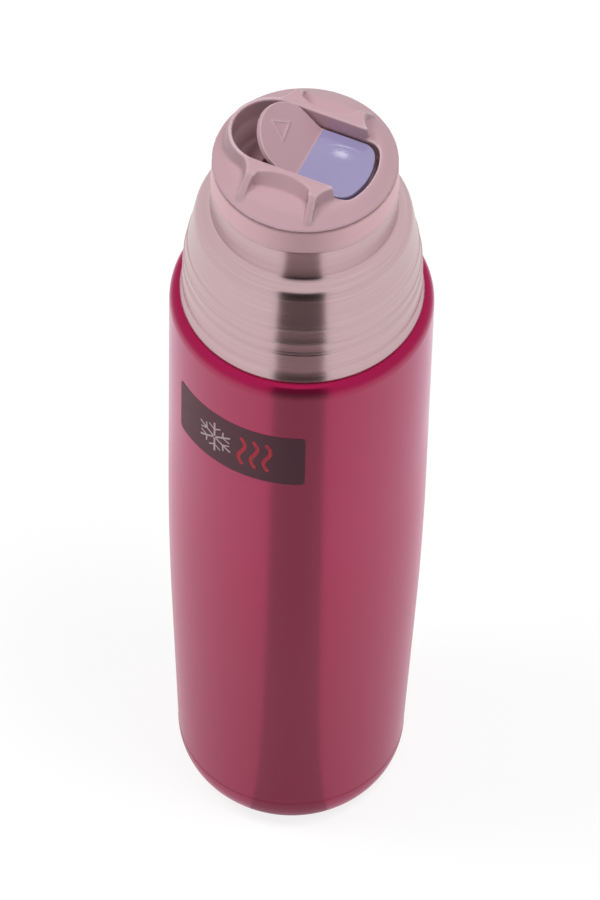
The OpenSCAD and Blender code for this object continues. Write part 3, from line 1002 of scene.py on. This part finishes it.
@dataclass
class Badge:
    """The dark badge on the body, with plain signs for hot and cold.

    Attributes:
        flask: the body it lies on.
        first: its left edge, in degrees from the front.
        last: its right edge, in degrees from the front.
        low: height of its lower edge.
        height: its height.
        thick: thickness of the film.
        corner: rounding of its corners.
        pitch: length of its facets round the body.
        ink: thickness of the printed signs.
        flake_at: place of the flake, as a share of the badge's length.
        flake_arm: length of the flake's arms.
        arm_width: width of the arms, and of the twigs on them.
        arm_start: how far the arms start from the flake's middle, and the twigs from the arms.
        twig: place of the twigs along an arm and their length, as shares of the arm, and their lean.
        steam_at: place of the steam, as a share of the badge's length.
        steam_half: half the height of the steam.
        wave: distance of its waves from each other, their sway, and their width.
    """

    flask: Flask
    first: float = -63.0
    last: float = 3.3
    low: float = 191.3
    height: float = 23.2
    thick: float = 0.09
    corner: float = 1.6
    pitch: float = 1.0
    ink: float = 0.03
    flake_at: float = 0.36
    flake_arm: float = 6.6
    arm_width: Point = (0.7, 0.55)
    arm_start: Point = (0.8, 0.5)
    twig: tuple[float, float, float] = (0.55, 0.38, 55.0)
    steam_at: float = 0.66
    steam_half: float = 6.0
    wave: tuple[float, float, float] = (4.2, 1.1, 1.3)

    @property
    def length(self) -> float:
        """Length along the body's surface."""
        return math.radians(self.last - self.first) * self.flask.body_r

    def wrapped(self, work: Workpiece) -> Workpiece:
        """Bend a flat workpiece round the body.

        Args:
            work: lies flat, with X along the badge, Y up it and Z out of the body.

        Returns:
            The same workpiece on the body.
        """
        for cut in range(1, math.ceil(self.length / self.pitch)):
            bmesh.ops.bisect_plane(work.bm, geom=work.bm.verts[:] + work.bm.edges[:] + work.bm.faces[:],
                                   plane_co=(cut * self.pitch, 0, 0), plane_no=(1, 0, 0))
        for v in work.bm.verts:
            angle = math.radians(self.first) + v.co.x / self.flask.body_r
            r = self.flask.body_r + v.co.z
            v.co = (r * math.sin(angle), -r * math.cos(angle), self.low + v.co.y)
        return work.close()

    def bar(self, start: Point, end: Point, width: float) -> Workpiece:
        """Make one straight stroke with round ends.

        Args:
            start: its first end on the badge.
            end: its last end.
            width: its width.

        Returns:
            The flat stroke.
        """
        way = Vector(end) - Vector(start)
        half, soft = width / 2, width * 0.45
        far = way.length + half
        plan = corners((-half, -half, soft), (far, -half, soft), (far, half, soft), (-half, half, soft))
        lean = math.degrees(math.atan2(way.y, way.x))
        return Workpiece.prism(plan, -self.thick, self.ink).turned_by(lean, "Z").moved(*start)

    def sign(self, name: str, strokes: Iterable[Workpiece], finish: Finish) -> None:
        """Join strokes into one printed sign.

        Args:
            name: name of the sign.
            strokes: the flat strokes.
            finish: its ink.
        """
        joined = Workpiece()
        for stroke in strokes:
            piece = stroke.mesh(name)
            joined.bm.from_mesh(piece)
            bpy.data.meshes.remove(piece)
        make_piece(name, self.wrapped(joined), finish, Body.BOTTLE)

    def spot(self, base: Point, length: float, degrees: float) -> Point:
        """Give the place on the badge at a distance and an angle from another."""
        angle = math.radians(degrees)
        return base[0] + length * math.cos(angle), base[1] + length * math.sin(angle)

    def ray(self, base: Point, near: float, far: float, degrees: float, width: float) -> Workpiece:
        """Make a stroke of some width that leads away from a place, between two distances from it."""
        return self.bar(self.spot(base, near, degrees), self.spot(base, far, degrees), width)

    def flake(self) -> list[Workpiece]:
        """Make the strokes of a six-armed flake, with two twigs on each arm.

        Returns:
            The flat strokes.
        """
        arm, (thick, thin), (near, root) = self.flake_arm, self.arm_width, self.arm_start
        place, long, spread = self.twig
        middle = (self.length * self.flake_at, self.height / 2)
        strokes = []
        for turn in range(30, 390, 60):
            strokes.append(self.ray(middle, near, arm, turn, thick))
            fork = self.spot(middle, arm * place, turn)
            strokes += [self.ray(fork, root, arm * long, turn + spread * hand, thin) for hand in HANDS]
        return strokes

    def steam(self) -> list[Workpiece]:
        """Make the strokes of three rising waves.

        Returns:
            The flat strokes.
        """
        gap, sway, width = self.wave
        size = self.steam_half
        rise = [size * (i / 10 - 1) for i in range(21)]
        strokes = []
        for aside in (-gap, 0, gap):
            x = self.length * self.steam_at + aside
            wave = [(x + sway * math.sin(y / size * math.pi), self.height / 2 + y) for y in rise]
            strokes += [self.bar(low, high, width) for low, high in zip(wave, wave[1:])]
        return strokes

    def build(self) -> None:
        """Make the film and its signs."""
        long, tall, soft = self.length, self.height, self.corner
        plan = corners((0, 0, soft), (long, 0, soft), (long, tall, soft), (0, tall, soft))
        film = self.wrapped(Workpiece.prism(plan, -self.thick, 0))
        make_piece("badge_film", film, FILM, Body.BOTTLE, ["label_plate"])
        self.sign("badge_cold_sign", self.flake(), PALE_INK)
        self.sign("badge_hot_sign", self.steam(), RED_INK)


@dataclass
class StopperTop:
    """The stopper's moulded top: disc, finger grips, pouring collar, well and button pocket.

    All places are in the lid's own frame: u along the channel, v across it, h above the disc.

    Attributes:
        turn: turn of the channel about the bottle's axis, in degrees.
        level: height of the disc's top on the bottle.
        disc_r: radius of the disc.
        disc_h: its thickness.
        slope_r: radius where its top starts to slope down to the rim.
        slope_soft: rounding where that slope starts.
        rim: width and height of the rounded rim.
        rim_turn: how far the rim's curve turns, in degrees.
        facets: facets round the disc.
        half: half the width of the channel.
        channel_floor: height of the channel's floor.
        slot_r: radius of the channel's outer end.
        slot_soft: rounding of that end's corners, and the angle that it takes from the end.
        grip_h: height of the grips and the collar.
        grip_half: half the length of a grip.
        grip_far: place along v of a grip's outer side.
        grip_soft: rounding of a grip's ends.
        chamfer: width of the cut at a grip's end beside the button.
        trim: place and direction along u and v of the cut at a grip's outer corners.
        leg: place of a leg along u, its width, and its turn in degrees.
        leg_top: length of a leg's level top, and the rounding at its end.
        leg_foot: reach of a leg along v, height of its end, and of its underside.
        finger_low: place along v, radius and half angle of a finger recess's back wall at the disc.
        finger_high: the same above the grip.
        finger_mouth: half the width of the recess's open side, and its place along v.
        side_r: radii at the disc and above the grip of the hollow beside a leg.
        side_at: place of that hollow along u and v.
        skim: how far the hollows stay above the disc.
        over: how far the solid of a hollow reaches past what it is cut from.
        well_u: place of the pouring collar along the channel.
        collar: thickness of the collar's top, its flare, and where it ends past its middle.
        well_back: how far the well lies behind the collar's middle.
        well_r: radius of the well's floor.
        well_depth: depth of the well.
        well_lean: how much narrower than the channel the well's top is, and its shift to the button.
        pour: place along the channel, radius and top of the pouring hole.
        pocket: radius, half width and depth of the pocket under the button.
        pocket_start: place along the channel where the pocket starts.
        roof: height of the pocket's roof under the disc's edge.
        wall: thickness of the walls under the disc.
        wall_top: height inside the disc that those walls reach up to.
        pin: place and depth of the rocker's pin.
        grain: size of the mould's cells.
        passes: how many times the skin is smoothed.
    """

    turn: float = -23.0
    level: float = 302.6
    disc_r: float = 28.4
    disc_h: float = 3.8
    slope_r: float = 22.8
    slope_soft: float = 1.5
    rim: Point = (2.0, 1.15)
    rim_turn: float = 65.0
    facets: int = 192
    half: float = 12.2
    channel_floor: float = -2.4
    slot_r: float = 22.3
    slot_soft: Point = (2.6, 9.0)
    grip_h: float = 5.0
    grip_half: float = 15.3
    grip_far: float = 18.2
    grip_soft: float = 0.7
    chamfer: float = 1.0
    trim: tuple[Point, Point] = ((14.5, 17.5), (1.3, 1.6))
    leg: tuple[float, float, float] = (9.6, 2.4, 8.0)
    leg_top: Point = (6.2, 1.6)
    leg_foot: tuple[float, float, float] = (11.9, -1.7, -2.6)
    finger_low: tuple[float, float, float] = (45.6, 28.6, 16.7)
    finger_high: tuple[float, float, float] = (28.6, 15.3, 34.0)
    finger_mouth: Point = (10.6, 32.0)
    side_r: Point = (7.9, 9.2)
    side_at: Point = (20.4, 19.8)
    skim: float = 0.03
    over: float = 1.0
    well_u: float = -11.0
    collar: tuple[float, float, float] = (1.2, 1.4, 2.5)
    well_back: float = 0.3
    well_r: float = 10.4
    well_depth: float = 10.2
    well_lean: Point = (0.05, 0.25)
    pour: tuple[float, float, float] = (-9.2, 4.5, -5.0)
    pocket: tuple[float, float, float] = (23.4, 12.5, 6.6)
    pocket_start: float = -8.2
    roof: float = -1.4
    wall: float = 1.2
    wall_top: float = -1.0
    pin: Point = (0.3, 2.9)
    grain: float = 0.36
    passes: int = 7

    @property
    def seat(self) -> Matrix:
        """Placing of the lid's frame on the bottle."""
        return Matrix.Translation((0, 0, self.level)) @ Matrix.Rotation(math.radians(self.turn), 4, "Z")

    @property
    def above(self) -> float:
        """Height that every hollow over the disc is open to."""
        return self.grip_h + self.over

    def disc(self) -> Workpiece:
        """Turn the disc, which slopes down to a rounded rim.

        Returns:
            The closed solid.
        """
        wide, _ = self.rim
        edge = bow((self.disc_r - wide, 0.15 - self.disc_h), self.rim, 0, self.rim_turn, 10)
        outline = corners((0, -self.disc_h), (self.disc_r - 0.5, -self.disc_h))
        top = corners((self.slope_r, 0, self.slope_soft), (0, 0))
        return Workpiece.turned(outline + edge + top, self.facets)

    def ridge(self) -> Workpiece:
        """Make the ridge of the grip at +v, with its corners cut.

        Returns:
            The closed solid.
        """
        top, half, root, soft = self.grip_h, self.grip_half, self.channel_floor, self.grip_soft
        side = corners((-half, root), (-half, top, soft), (half, top, soft), (half, root))
        bar = Workpiece.prism(side, -self.grip_far, -self.half).turned_by(90, "X")
        (u, v), (along, across) = self.trim
        for hand in HANDS:
            bar.trimmed((u * hand, v, 0), (along * hand, across, 0))
        cut = self.chamfer / 2
        return bar.trimmed((half - cut, self.half + cut, 0), (1, -1, 0))

    def leg_bar(self, hand: int) -> Workpiece:
        """Make one of the two legs that frame the finger recess at +v.

        Args:
            hand: 1 or -1 for the side along u.

        Returns:
            The leg, sloping down to the disc's rim.
        """
        top, (length, soft) = self.grip_h, self.leg_top
        place, width, turn = self.leg
        reach, low, root = self.leg_foot
        side = corners((0, root), (0, top), (length, top, soft), (reach, low), (reach, root))
        bar = Workpiece.prism(side, -width / 2, width / 2).turned_by(90, "X").turned_by(90, "Z")
        return bar.turned_by(-turn * hand, "Z").moved(place * hand, self.half)

    def finger_room(self) -> Workpiece:
        """Make the hollow of the finger recess at +v, with its leaning back wall.

        Returns:
            The closed solid.
        """
        wide, far = self.finger_mouth
        mouth = corners((-wide, far), (wide, far))
        low, high = (bow((0, place), (r, r), 270 + spread, 270 - spread, 16) + mouth
                     for place, r, spread in (self.finger_low, self.finger_high))
        return Workpiece.loft(low, self.skim, high, self.above)

    def side_room(self, hand: int) -> Workpiece:
        """Make the hollow beside a leg at +v; hand is 1 or -1 for the side along u."""
        u, v = self.side_at
        return Workpiece.drum(*self.side_r, self.skim, self.above).moved(u * hand, v)

    def spout(self) -> Workpiece:
        """Make the flared collar round the pouring well, before the channel is cut.

        Returns:
            The closed solid.
        """
        thick, flare, end = self.collar
        r = self.half + thick
        cone = Workpiece.drum(r + flare, r, -0.5, self.grip_h)
        return cone.trimmed((end, 0, 0), (1, 0, 0)).moved(self.well_u)

    def channel(self) -> list[Corner]:
        """Outline the channel's plan at the level of the disc.

        Returns:
            The corners in order.
        """
        soft, taken = self.slot_soft
        spread = math.degrees(math.asin(self.half / self.slot_r))
        end = self.slot_r * math.cos(math.radians(spread))
        return (bow((self.well_u, 0), (self.half, self.half), 270, 90, 40)
                + [Corner(end, self.half, soft)]
                + bow((0, 0), (self.slot_r, self.slot_r), spread - taken, taken - spread, 20)
                + [Corner(end, -self.half, soft)])

    def button_room(self, grown: float, low: float, high: float) -> Workpiece:
        """Make the room under the button.

        Args:
            grown: how much wider it is than the pocket.
            low: height of its floor.
            high: height of its top.

        Returns:
            The upright solid.
        """
        r, half = self.pocket[0] + grown, self.pocket[1] + grown
        start = self.pocket_start - grown
        spread = math.degrees(math.asin(half / r))
        plan = corners((start, half), (start, -half)) + bow((0, 0), (r, r), -spread, spread, 24)
        return Workpiece.prism(plan, low, high)

    def build(self) -> None:
        """Cast the top in its mould."""
        deep, wall, top = self.pocket[2], self.wall, self.wall_top
        floor = -self.well_depth - wall - 0.2
        well = self.well_u - self.well_back
        narrower, shift = self.well_lean
        hole_u, hole_r, hole_top = self.pour
        across = Matrix.Scale(-1, 4, (0, 1, 0))
        mould = Mould("stopper_top", self.grain, self.passes)
        mould.put(Step.ADD, self.disc(), self.ridge(), self.ridge().placed(across))
        mould.put(Step.ADD, *(self.leg_bar(h) for h in HANDS))
        mould.put(Step.ADD, *(self.leg_bar(h).placed(across) for h in HANDS))
        mould.put(Step.CUT, self.finger_room(), self.finger_room().placed(across))
        mould.put(Step.CUT, *(self.side_room(h) for h in HANDS))
        mould.put(Step.CUT, *(self.side_room(h).placed(across) for h in HANDS))
        mould.put(Step.ADD, self.spout(),
                  Workpiece.drum(self.well_r + wall, self.half + wall, floor, top).moved(well),
                  self.button_room(wall, -deep - wall, top))
        mould.put(Step.CUT, Workpiece.prism(self.channel(), self.channel_floor, self.above))
        hollow = Workpiece.drum(self.well_r, self.half - narrower, -self.well_depth, self.channel_floor + 0.1)
        hole = Workpiece.drum(hole_r, hole_r, floor - self.over, hole_top, SMALL_FACETS)
        mould.put(Step.CUT, hollow.moved(well + shift), self.button_room(0, -deep, self.roof),
                  hole.moved(hole_u))
        make_piece("stopper_moulding", mould.cast().placed(self.seat), PINK, Body.STOPPER,
                   ["stopper_top"])


@dataclass
class Rocker:
    """The pouring rocker: flap, barrel, arm and stem in one moulding, and the lilac button.

    Places are in the rocker's frame: the pin at its origin, the flap lying level towards -x.

    Attributes:
        top: the stopper's top that it sits in.
        tilt: tilt of the open flap in degrees.
        flap_r: half the width of the flap.
        flap_side: length of its straight sides.
        flap_t: its thickness.
        stem: radius of the stem under the flap, its depth, and its place past the round end's middle.
        arrow_at: place of the arrow head from the round end's middle.
        arrow_size: distance of the arrow head's outer and inner points from its middle.
        arrow_turn: turn of the arrow head in degrees.
        relief: height of the arrow head.
        barrel: radius and half length of the barrel on the pin.
        pin_r: radius of the pin.
        crease: height of the crease between flap and button over the pin.
        arm: reach, half width and thickness of the arm under the button.
        arm_start: where the arm starts beside the pin.
        arm_soft: rounding of the arm's corners.
        gap: gap between the button and what lies under it.
        pin_gap: play of the barrel on the pin.
        button_start: where the button starts beside the pin.
        button_r: radius of the button's outer end.
        button_half: half its width.
        button_t: its thickness.
        button_drop: depth of its top under the disc's top.
        button_soft: rounding of its outer corners, and the angle that it takes from the end.
        dish: radius, depth and place of the hollow in the button.
        dish_stretch: how the hollow is stretched along and across the channel.
        grain: size of the moulds' cells.
        passes: how many times the skins of the rocker and of the button are smoothed.
    """

    top: StopperTop
    tilt: float = 42.0
    flap_r: float = 11.4
    flap_side: float = 7.5
    flap_t: float = 1.8
    stem: tuple[float, float, float] = (2.0, 4.6, 0.6)
    arrow_at: Point = (-4.0, 0.5)
    arrow_size: Point = (4.4, 3.4)
    arrow_turn: float = 10.0
    relief: float = 0.25
    barrel: Point = (2.0, 11.6)
    pin_r: float = 0.9
    crease: float = 2.1
    arm: tuple[float, float, float] = (16.7, 9.0, 1.6)
    arm_start: float = 0.2
    arm_soft: float = 2.0
    gap: float = 0.05
    pin_gap: float = 0.06
    button_start: float = 0.5
    button_r: float = 21.0
    button_half: float = 11.5
    button_t: float = 2.4
    button_drop: float = 0.7
    button_soft: Point = (3.0, 10.0)
    dish: tuple[float, float, float] = (80.0, 0.55, 11.0)
    dish_stretch: Point = (1.1, 0.85)
    grain: float = 0.2
    passes: tuple[int, int] = (3, 8)

    @property
    def flap_x(self) -> float:
        """Middle of the flap's round end."""
        return -self.crease * math.sin(math.radians(self.tilt)) - self.flap_side

    @property
    def flap_top(self) -> float:
        """Height of the flap's upper face over the pin."""
        return self.crease * math.cos(math.radians(self.tilt))

    @property
    def pin_seat(self) -> Matrix:
        """Placing of the pin in the lid's frame."""
        return Matrix.Translation((self.top.pin[0], 0, -self.top.pin[1]))

    def flap(self) -> list[Workpiece]:
        """Make the flap and the stem under it, tilted open.

        Returns:
            The plate and the stem.
        """
        x, high, r = self.flap_x, self.flap_top, self.flap_r
        end = x + self.flap_side
        plan = bow((x, 0), (r, r), 90, 270, 40) + corners((end, -r), (end, r))
        stem_r, depth, past = self.stem
        plate = Workpiece.prism(plan, high - self.flap_t, high)
        stem = Workpiece.drum(stem_r, stem_r, -depth, high - 1, 32).moved(x - past)
        return [work.turned_by(self.tilt, "Y") for work in (plate, stem)]

    def arrow(self, size: float, low: float, high: float) -> Workpiece:
        """Make an arrow head on the flap.

        Args:
            size: distance from its middle to its points.
            low: height of its lower face over the flap.
            high: height of its upper face over the flap.

        Returns:
            The three-sided solid, tilted open.
        """
        x, y = self.arrow_at
        plan = bow((self.flap_x + x, y), (size, size), 180 + self.arrow_turn, 420 + self.arrow_turn, 2)
        return Workpiece.prism(plan, self.flap_top + low, self.flap_top + high).turned_by(self.tilt, "Y")

    def rod(self, r: float, half: float) -> Workpiece:
        """Make a rod along the pin; r is its radius and half its half length."""
        return Workpiece.drum(r, r, -half, half, SMALL_FACETS).turned_by(90, "X")

    def cast_rocker(self) -> None:
        """Cast flap, arrow head, stem, barrel and arm in one mould, round the pin."""
        start, soft, (reach, wide, thick) = self.arm_start, self.arm_soft, self.arm
        arm_top = self.top.pin[1] - self.button_drop - self.button_t - self.gap
        plan = corners((start, -wide), (reach, -wide, soft), (reach, wide, soft), (start, wide))
        outer, inner = self.arrow_size
        mould = Mould("rocker", self.grain, self.passes[0])
        mould.put(Step.ADD, *self.flap(), self.rod(*self.barrel))
        mould.put(Step.ADD, Workpiece.prism(plan, arm_top - thick, arm_top))
        mould.put(Step.ADD, self.arrow(outer, -0.5, self.relief)).put(Step.CUT, self.arrow(inner, 0.0, 1))
        mould.put(Step.CUT, self.rod(self.pin_r + self.pin_gap, self.barrel[1] + 1))
        work = mould.cast().placed(self.top.seat @ self.pin_seat)
        make_piece("rocker_moulding", work, PINK, Body.ROCKER, ["rocker"])

    def cast_button(self) -> None:
        """Cast the button with its hollow, clear of the barrel."""
        r, half, drop = self.button_r, self.button_half, self.button_drop
        soft, taken = self.button_soft
        spread = math.degrees(math.asin(half / r))
        far = r * math.cos(math.radians(spread))
        near = self.top.pin[0] + self.button_start
        plan = (corners((near, half), (near, -half), (far, -half, soft))
                + bow((0, 0), (r, r), taken - spread, spread - taken, 20) + [Corner(far, half, soft)])
        dish_r, depth, place = self.dish
        hollow = Workpiece.ball(dish_r, 7).placed(Matrix.Diagonal((*self.dish_stretch, 1, 1)))
        mould = Mould("button", self.grain, self.passes[1])
        mould.put(Step.ADD, Workpiece.prism(plan, -drop - self.button_t, -drop))
        mould.put(Step.CUT, hollow.moved(place, 0, dish_r - drop - depth),
                  self.rod(self.barrel[0] + self.gap, self.barrel[1] + 1).placed(self.pin_seat))
        make_piece("lilac_button", mould.cast().placed(self.top.seat), LILAC, Body.ROCKER,
                   ["push_button"])

    def build(self) -> None:
        """Make the rocker and the button."""
        self.cast_rocker()
        self.cast_button()


@dataclass(frozen=True)
class Lamp:
    """A round softbox that shines on the stopper.

    Attributes:
        name: name of the lamp.
        place: its place in metres.
        size: its width in metres.
        power: its power in watts.
        mirrored: whether it shows in reflections.
    """

    name: str
    place: Place
    size: float
    power: float
    mirrored: bool = False

    def hang(self, target: Place) -> None:
        """Hang the lamp and aim it.

        Args:
            target: the place that it shines on.
        """
        data = bpy.data.lights.new(self.name, "AREA")
        data.shape = "DISK"
        data.size = self.size
        data.energy = self.power
        made = bpy.data.objects.new(self.name, data)
        made.visible_glossy = self.mirrored
        made.location = self.place
        aim = Vector(target) - Vector(self.place)
        made.rotation_euler = aim.to_track_quat("-Z", "Y").to_euler()
        bpy.context.scene.collection.objects.link(made)


@dataclass
class Studio:
    """Camera, floor, light and the dark flags that draw the edges of the metal.

    Attributes:
        camera_at: place of the camera in metres.
        pitch: how far it looks down, in degrees.
        yaw: how far it looks aside, in degrees.
        roll: how far it leans, in degrees.
        lens: focal length on a frame of the sensor's width.
        sensor: width of the sensor.
        ambient: strength of the world's light on the object.
        floor_half: half the width of the floor.
        floor_z: height of the floor.
        floor_tone: brightness of the floor to the light and to the eye, and its glow to the eye.
        strip: length of the dark strip, its width at the bottle, and its half angle in degrees.
        strip_stops: shares of that length and the strip's brightness there.
        shade: radius and height of the contact shade.
        shade_stops: shares of that radius and the shade's brightness there.
        screen: radius and height of the dark screen.
        screen_stops: shares of the strip's length and the screen's brightness there.
        tint: colour that the flags' tones are tinted with.
        target: place that the lamps shine on, in metres.
        lamps: the lamps.
    """

    camera_at: Place = (0.0, -1.45156, 2.03507)
    pitch: float = 52.314
    yaw: float = 0.016
    roll: float = 1.473
    lens: float = 300.0
    sensor: float = 36.0
    ambient: float = 0.3
    floor_half: float = 6000.0
    floor_z: float = -0.4
    floor_tone: tuple[float, float, float] = (0.8, 0.24, 0.82)
    strip: tuple[float, float, float] = (1200.0, 4.0, 20.0)
    strip_stops: tuple[Point, ...] = ((0, 0.42), (0.2, 0.42), (0.33, 0.27), (0.5, 0.04), (1, 0.02))
    shade: Point = (150.0, -0.2)
    shade_stops: tuple[Point, ...] = ((0.2, 0.7), (0.5, 0.8), (1, 1))
    screen: Point = (1100.0, 1190.0)
    screen_stops: tuple[Point, ...] = ((0, 0.03), (1, 0.03))
    tint: Colour = (1.0, 0.82, 0.84)
    target: Place = (0.0, 0.0, 0.25)
    lamps: tuple[Lamp, ...] = (
        Lamp("left_softbox", (-0.9, 0.0, 1.8), 0.7, 12),
        Lamp("right_softbox", (0.55, -0.3, 2.1), 0.7, 15),
        Lamp("spark", (-0.027, 0.69, 1.462), 0.09, 0.2, True),
    )

    def camera(self) -> None:
        """Set up the camera at the photograph's angle."""
        pitch, yaw, roll = (math.radians(a) for a in (self.pitch, self.yaw, self.roll))
        ahead, right = Vector((0, math.cos(pitch), -math.sin(pitch))), Vector((1, 0, 0))
        up = right.cross(ahead)
        ahead, right = (ahead * math.cos(yaw) + right * math.sin(yaw),
                        right * math.cos(yaw) - ahead * math.sin(yaw))
        right, up = (right * math.cos(roll) + up * math.sin(roll),
                     up * math.cos(roll) - right * math.sin(roll))
        data = bpy.data.cameras.new("camera")
        data.lens = self.lens
        data.sensor_width = self.sensor
        data.clip_end = 20
        made = bpy.data.objects.new("camera", data)
        facing = Matrix((right, up, -ahead)).transposed().to_4x4()
        made.matrix_world = Matrix.Translation(self.camera_at) @ facing
        bpy.context.scene.collection.objects.link(made)
        bpy.context.scene.camera = made

    def seen(self, sheet: Sheet) -> Wire:
        """Give one for rays that show the background: from the camera, a mirror or a glass.

        Args:
            sheet: the sheet to write on.

        Returns:
            The value, one or nought.
        """
        camera, glossy, glass = (sheet.node("ShaderNodeLightPath", output=f"Is {kind} Ray")
                                 for kind in ("Camera", "Glossy", "Transmission"))
        return camera | glossy | glass

    def world(self) -> None:
        """Make a white world that lights the object softly."""
        world = bpy.data.worlds.new("studio")
        world.use_nodes = True
        sheet = Sheet(world.node_tree)
        strength = self.ambient + self.seen(sheet) * (1 - self.ambient)
        sky = sheet.node("ShaderNodeBackground", {}, {"Color": (1, 1, 1, 1), "Strength": strength})
        sheet.end(sky, "ShaderNodeOutputWorld")
        bpy.context.scene.world = world

    def prop(self, name: str, work: Workpiece) -> tuple[bpy.types.Object, Sheet]:
        """Make a prop of the studio with an empty material.

        Args:
            name: name of the prop.
            work: its shape.

        Returns:
            The object, and the sheet of its material.
        """
        made = bpy.data.objects.new(name, work.mesh(name, MM))
        paint = bpy.data.materials.new(f"{name}_paint")
        paint.use_nodes = True
        made.data.materials.append(paint)
        bpy.context.scene.collection.objects.link(made)
        return made, Sheet(paint.node_tree)

    def floor(self) -> None:
        """Lay a white floor that keeps the shadow."""
        work = Workpiece()
        bmesh.ops.create_grid(work.bm, x_segments=1, y_segments=1, size=self.floor_half)
        _, sheet = self.prop("floor", work.moved(z=self.floor_z))
        seen = self.seen(sheet)
        lit, shown, glowing = self.floor_tone
        colour = sheet.blend(seen, (lit,) * 3, (shown,) * 3)
        matt = sheet.node("ShaderNodeBsdfDiffuse", {}, {"Color": colour})
        glow = sheet.node("ShaderNodeEmission", {}, {"Color": (1, 1, 1, 1), "Strength": seen * glowing})
        sheet.end(sheet.node("ShaderNodeAddShader", {}, {0: matt, 1: glow}))

    def flag(self, name: str, work: Workpiece, reach: float, stops: Sequence[Point]) -> None:
        """Lay or hang a card that only shows in reflections.

        Args:
            name: name of the card.
            work: its shape.
            reach: distance from the bottle's axis at which the stops end.
            stops: share of that distance and brightness of the card there.
        """
        made, sheet = self.prop(name, work)
        level_place = sheet.place((1, 1, 0))
        far = sheet.node("ShaderNodeVectorMath", {"operation": "LENGTH"}, {0: level_place}, "Value")
        tones = [(share, tuple(level * c for c in self.tint)) for share, level in stops]
        tone = sheet.node("ShaderNodeValToRGB", {"stops": tones}, {0: far * (1 / (reach * MM))})
        sheet.end(sheet.node("ShaderNodeEmission", {}, {"Color": tone, "Strength": 1.0}))
        made.visible_camera = False
        made.visible_diffuse = False
        made.visible_transmission = False
        made.visible_shadow = False

    def flags(self) -> None:
        """Lay the dark strip and the contact shade, and stand the dark screen behind the strip."""
        reach, width, angle = self.strip
        near, far = width / 2, width / 2 + reach * math.tan(math.radians(angle))
        card = Workpiece()
        card.bm.faces.new([card.bm.verts.new((x, y, 0)) for x, y in
                           ((-near, 0), (-far, -reach), (far, -reach), (near, 0))])
        self.flag("dark_strip", card, reach, self.strip_stops)
        r, level = self.shade
        card = Workpiece()
        bmesh.ops.create_circle(card.bm, cap_ends=True, segments=64, radius=r)
        self.flag("contact_shade", card.moved(z=level), r, self.shade_stops)
        r, tall = self.screen
        card = Workpiece.drum(r, r, 0, tall, 72)
        front = -r * math.cos(math.radians(angle))
        spare = [f for f in card.bm.faces if f.calc_center_median().y > front]
        bmesh.ops.delete(card.bm, geom=spare, context="FACES")
        self.flag("dark_screen", card, reach, self.screen_stops)

    def build(self) -> None:
        """Set up everything that isn't the bottle."""
        bpy.context.scene.view_settings.view_transform = "Standard"
        self.camera()
        self.world()
        self.floor()
        self.flags()
        for lamp in self.lamps:
            lamp.hang(self.target)


def dress_hidden_pieces() -> None:
    """Give every CAD node that still shows its own finish."""
    dressed = {
        INNER_STEEL: ("inner_vessel", "inner_bottom", "getter_cup", "sealing_tip"),
        FOIL: ("heat_shield",),
        PELLET: ("getter",),
        SILICONE: ("stopper_gasket", "flap_seal"),
        PINK: ("stopper_plug", "plug_bottom", "pour_tube"),
        FOAM: ("plug_insulation",),
        STEEL: ("rocker_pin", "seal_rivet"),
    }
    for finish, nodes in dressed.items():
        for node in nodes:
            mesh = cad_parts[node].data
            mesh.materials.clear()
            mesh.materials.append(finish.material())
            LOG.info("%s: %s", node, finish.name)


def main() -> None:
    """Build the bottle and the studio."""
    logging.basicConfig(level=logging.INFO, format="%(name)s: %(message)s")
    flask = Flask()
    top = StopperTop()
    for assembly in (flask, Neck(flask), Badge(flask), top, Rocker(top)):
        assembly.build()
    dress_hidden_pieces()
    Studio().build()


if __name__ == "__main__":
    main()
